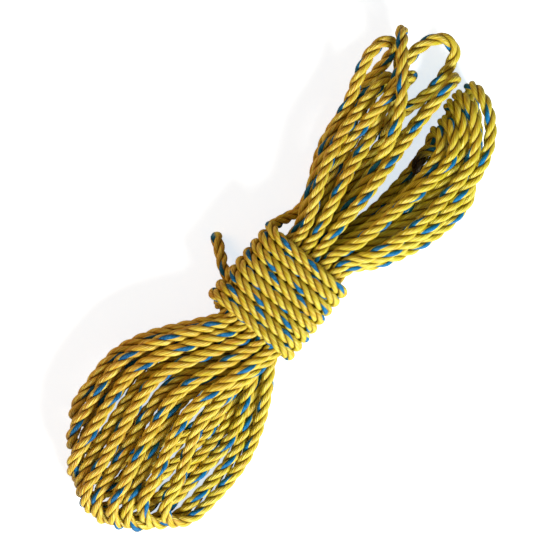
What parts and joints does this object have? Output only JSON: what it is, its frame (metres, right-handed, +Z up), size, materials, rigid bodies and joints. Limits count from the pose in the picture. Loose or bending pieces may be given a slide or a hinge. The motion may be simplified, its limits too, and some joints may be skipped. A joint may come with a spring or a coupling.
{
  "type": "rope hank",
  "caption": "Hank of three-strand laid utility rope, looped lengthwise, drawn in at the waist and bound there by turns of its own tail.",
  "frame": {"origin": "centre of the hank's footprint, on the surface that it lies on", "axes": "+X along the hank towards the lobe that holds the inner end, +Z up from the surface"},
  "size_m": [0.4253, 0.1322, 0.0503],
  "materials": {
    "rope": "satin",
    "tracer": "satin",
    "singed": "matte"
  },
  "bodies": {
    "root": {"hank_loops": "rope", "lead_run": "rope", "waist_winding": "rope", "tail": "rope", "inner_end": "rope", "tail_seal": "tracer", "inner_seal": "singed"}
  },
  "joints": []
}
